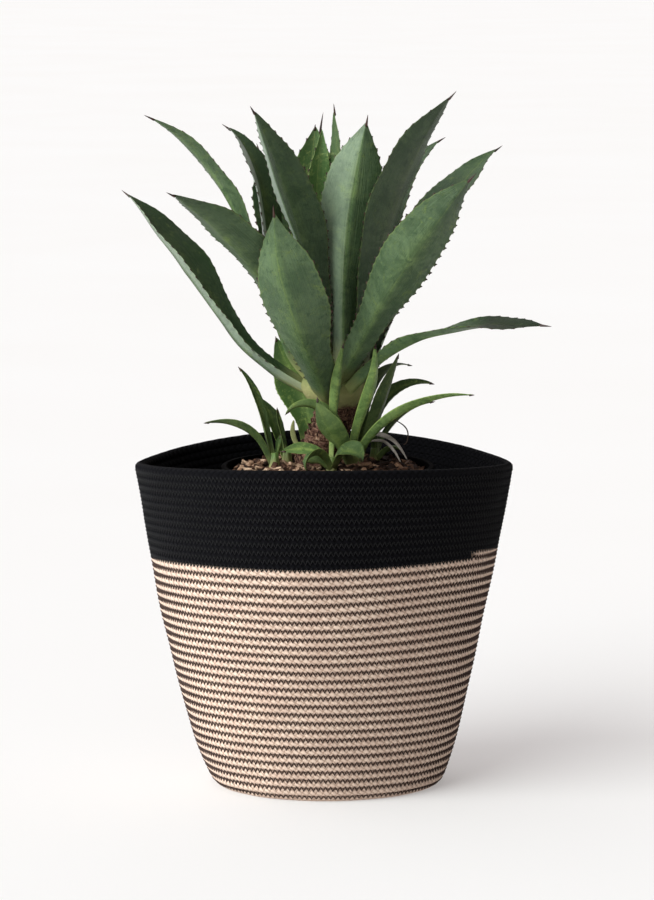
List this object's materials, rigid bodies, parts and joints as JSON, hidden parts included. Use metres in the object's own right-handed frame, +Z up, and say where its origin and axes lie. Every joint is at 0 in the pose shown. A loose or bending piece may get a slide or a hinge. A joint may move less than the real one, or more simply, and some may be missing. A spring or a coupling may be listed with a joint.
{
  "type": "potted agave plant",
  "caption": "Rosette agave with small offsets in a black nursery pot, standing in a coiled rope basket with a pinched, two-tone rim.",
  "frame": {"origin": "centre of the basket's underside, on the floor", "axes": "+Z up, +X along the basket's long way towards the drooping leaf, -Y the front"},
  "size_m": [0.3815, 0.2952, 0.6279],
  "materials": {
    "natural_rope": "braided cotton rope, sewn row on row",
    "black_rope": "dyed cotton rope, matt",
    "saucer_plastic": "plain dark plastic",
    "pot_plastic": "thin black plastic",
    "soil": "loose dark compost",
    "bark": "loose bark chips",
    "stem": "scaly brown stem with a pale green crown",
    "offset_crown": "pale green, smooth",
    "offset_leaf": "fresh green, slightly waxy",
    "young_leaf": "light green, waxy",
    "leaf": "grey-green, waxy, dark teeth along the edges"
  },
  "bodies": {
    "root": {"back_left_offset_leaf": "offset_leaf", "back_left_offset_short_leaf": "offset_leaf", "back_offset_broad_leaf": "offset_leaf", "back_offset_low_leaf": "offset_leaf", "back_offset_tall_leaf": "offset_leaf", "back_right_offset_arched_leaf": "offset_leaf", "back_right_offset_upright_leaf": "offset_leaf", "bark_mulch": "bark", "drip_saucer": "saucer_plastic", "far_right_offset_long_leaf": "offset_leaf", "far_right_offset_low_leaf": "offset_leaf", "far_right_offset_thin_leaf": "offset_leaf", "front_offset_broad_leaf": "offset_leaf", "front_offset_drooping_leaf": "offset_leaf", "front_offset_left_leaf": "offset_leaf", "front_offset_low_leaf": "offset_leaf", "front_offset_tall_leaf": "offset_leaf", "leaf_back": "leaf", "leaf_back_left": "leaf", "leaf_back_right": "leaf", "leaf_centre_spear": "young_leaf", "leaf_front_left": "leaf", "leaf_front_right": "leaf", "leaf_inner_back": "leaf", "leaf_inner_back_right": "leaf", "leaf_inner_front": "leaf", "leaf_inner_front_left": "leaf", "leaf_inner_left": "leaf", "leaf_inner_right": "leaf", "leaf_low_left": "leaf", "leaf_low_right_drooping": "leaf", "leaf_mid_left": "leaf", "leaf_mid_right": "leaf", "leaf_upper_left": "leaf", "leaf_upper_right": "leaf", "left_offset_arched_leaf": "offset_leaf", "left_offset_short_leaf": "offset_leaf", "left_offset_tall_leaf": "offset_leaf", "nursery_pot": "pot_plastic", "offset_crown_back": "offset_crown", "offset_crown_back_left": "offset_crown", "offset_crown_back_right": "offset_crown", "offset_crown_far_right": "offset_crown", "offset_crown_front": "offset_crown", "offset_crown_left": "offset_crown", "offset_crown_right": "offset_crown", "potting_soil": "soil", "right_offset_bent_leaf": "offset_leaf", "right_offset_front_leaf": "offset_leaf", "right_offset_long_leaf": "offset_leaf", "right_offset_tall_leaf": "offset_leaf", "rope_basket_band": "black_rope", "rope_basket_body": "natural_rope", "stem": "stem"}
  },
  "joints": []
}
